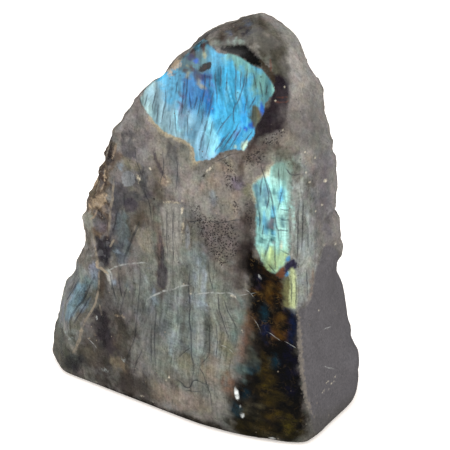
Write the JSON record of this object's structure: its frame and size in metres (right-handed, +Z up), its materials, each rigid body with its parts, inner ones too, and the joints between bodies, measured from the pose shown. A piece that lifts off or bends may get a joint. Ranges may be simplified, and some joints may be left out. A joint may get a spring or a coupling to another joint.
{
  "type": "semi-polished labradorite chunk",
  "caption": "Freestanding labradorite display stone with a hand-polished face that flashes blue and green, a ground side, a natural broken back and a sawn flat foot.",
  "frame": {"origin": "centre of the stone's bounding box in plan, on the surface that it stands on", "axes": "+Z up, -Y towards the polished front, +X towards the ground side"},
  "size_m": [0.1576, 0.0756, 0.1794],
  "materials": {
    "labradorite": "polished on the front, ground matte on the right side, rough and broken at the back and left edge"
  },
  "bodies": {
    "root": {"labradorite_stone": "labradorite"}
  },
  "joints": []
}
